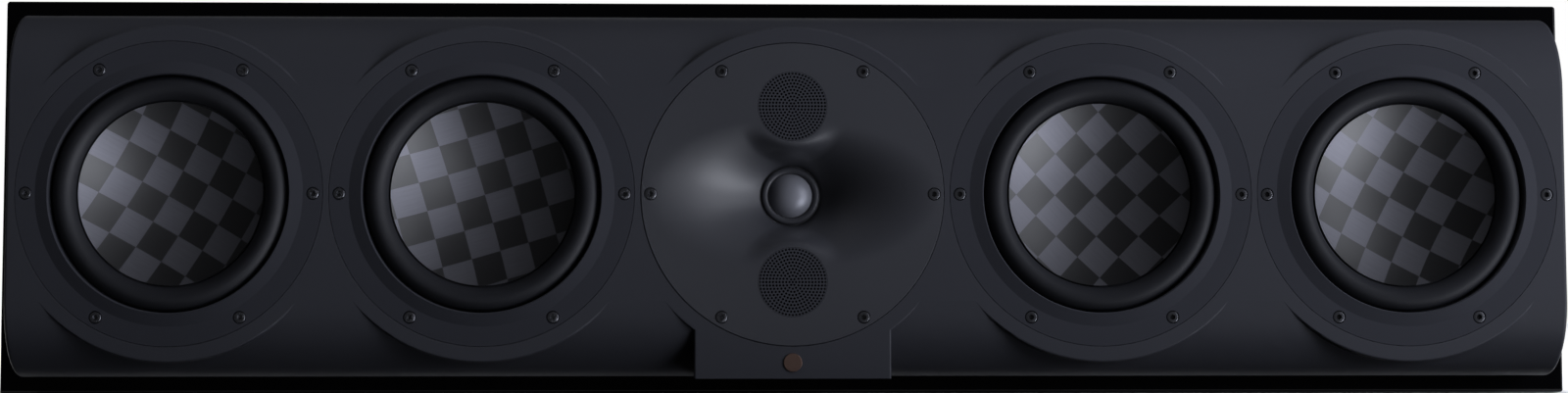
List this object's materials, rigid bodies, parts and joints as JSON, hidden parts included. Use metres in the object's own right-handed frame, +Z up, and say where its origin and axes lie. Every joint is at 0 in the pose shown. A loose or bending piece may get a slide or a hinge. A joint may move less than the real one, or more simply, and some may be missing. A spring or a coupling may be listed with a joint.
{
  "type": "center channel speaker",
  "caption": "Long low loudspeaker with dished carbon woofers either side of an oval waveguide that holds a dome tweeter between perforated midrange grilles.",
  "frame": {"origin": "middle of the cabinet's underside", "axes": "+X along the width to the viewer's right, -Y out of the front, +Z up"},
  "size_m": [0.9658, 0.347, 0.2416],
  "materials": {
    "cabinet_lacquer": "polished black lacquer on board",
    "baffle_satin": "satin black paint on board",
    "inner_board": "raw fibreboard",
    "frame_black": "satin black powder coat on a casting",
    "cone_carbon": "clear-coated spread-tow carbon",
    "surround_rubber": "matte black rubber",
    "spider_cloth": "resin-dipped cloth",
    "coil_copper": "enamelled wire on a former",
    "motor_steel": "zinc-plated steel",
    "magnet_ferrite": "sintered ferrite",
    "waveguide_satin": "satin black moulding",
    "dome_grey": "dark anodised foil",
    "grille_black": "black perforated sheet",
    "screw_black": "black oxide steel",
    "badge_bronze": "satin bronze",
    "port_plastic": "textured black moulding",
    "post_brass": "gilt brass",
    "knob_red": "red moulding",
    "knob_black": "black moulding",
    "board_green": "circuit board",
    "film_can": "shrink-wrapped film"
  },
  "bodies": {
    "cabinet": {"cabinet_shell": "cabinet_lacquer", "rear_panel": "cabinet_lacquer", "front_baffle": "baffle_satin", "waveguide_plate": "waveguide_satin", "tweeter_dome": "dome_grey", "tweeter_motor": "motor_steel", "upper_mid_grille": "grille_black", "upper_mid_dome": "dome_grey", "upper_mid_motor": "motor_steel", "lower_mid_grille": "grille_black", "lower_mid_dome": "dome_grey", "lower_mid_motor": "motor_steel", "badge": "badge_bronze", "driver_screws": "screw_black", "crossover_board": "board_green", "crossover_inductors": "coil_copper", "crossover_capacitors": "film_can", "left_port": "port_plastic", "right_port": "port_plastic", "left_brace": "inner_board", "right_brace": "inner_board", "positive_post": "post_brass", "negative_post": "post_brass", "post_nuts": "motor_steel", "woofer_1_frame": "frame_black", "woofer_1_surround": "surround_rubber", "woofer_1_spider": "spider_cloth", "woofer_1_top_plate": "motor_steel", "woofer_1_magnet": "magnet_ferrite", "woofer_1_yoke": "motor_steel", "woofer_2_frame": "frame_black", "woofer_2_surround": "surround_rubber", "woofer_2_spider": "spider_cloth", "woofer_2_top_plate": "motor_steel", "woofer_2_magnet": "magnet_ferrite", "woofer_2_yoke": "motor_steel", "woofer_3_frame": "frame_black", "woofer_3_surround": "surround_rubber", "woofer_3_spider": "spider_cloth", "woofer_3_top_plate": "motor_steel", "woofer_3_magnet": "magnet_ferrite", "woofer_3_yoke": "motor_steel", "woofer_4_frame": "frame_black", "woofer_4_surround": "surround_rubber", "woofer_4_spider": "spider_cloth", "woofer_4_top_plate": "motor_steel", "woofer_4_magnet": "magnet_ferrite", "woofer_4_yoke": "motor_steel"},
    "woofer_1_moving": {"woofer_1_cone": "cone_carbon", "woofer_1_voice_coil": "coil_copper"},
    "woofer_2_moving": {"woofer_2_cone": "cone_carbon", "woofer_2_voice_coil": "coil_copper"},
    "woofer_3_moving": {"woofer_3_cone": "cone_carbon", "woofer_3_voice_coil": "coil_copper"},
    "woofer_4_moving": {"woofer_4_cone": "cone_carbon", "woofer_4_voice_coil": "coil_copper"},
    "positive_clamp": {"positive_knob": "knob_red"},
    "negative_clamp": {"negative_knob": "knob_black"}
  },
  "joints": [
    {"name": "woofer_1_stroke", "type": "slide", "parent": "cabinet", "child": "woofer_1_moving", "axis": [0, -1, 0], "range_m": [-0.006, 0.006], "stiffness_N_per_m": 1500, "deforming": ["woofer_1_surround", "woofer_1_spider"]},
    {"name": "woofer_2_stroke", "type": "slide", "parent": "cabinet", "child": "woofer_2_moving", "axis": [0, -1, 0], "range_m": [-0.006, 0.006], "stiffness_N_per_m": 1500, "deforming": ["woofer_2_surround", "woofer_2_spider"]},
    {"name": "woofer_3_stroke", "type": "slide", "parent": "cabinet", "child": "woofer_3_moving", "axis": [0, -1, 0], "range_m": [-0.006, 0.006], "stiffness_N_per_m": 1500, "deforming": ["woofer_3_surround", "woofer_3_spider"]},
    {"name": "woofer_4_stroke", "type": "slide", "parent": "cabinet", "child": "woofer_4_moving", "axis": [0, -1, 0], "range_m": [-0.006, 0.006], "stiffness_N_per_m": 1500, "deforming": ["woofer_4_surround", "woofer_4_spider"]},
    {"name": "positive_clamp_turn", "type": "hinge", "parent": "cabinet", "child": "positive_clamp", "pos_m": [0.019, 0.15, 0.062], "axis": [0, 1, 0], "continuous": true},
    {"name": "negative_clamp_turn", "type": "hinge", "parent": "cabinet", "child": "negative_clamp", "pos_m": [-0.019, 0.15, 0.062], "axis": [0, 1, 0], "continuous": true}
  ]
}
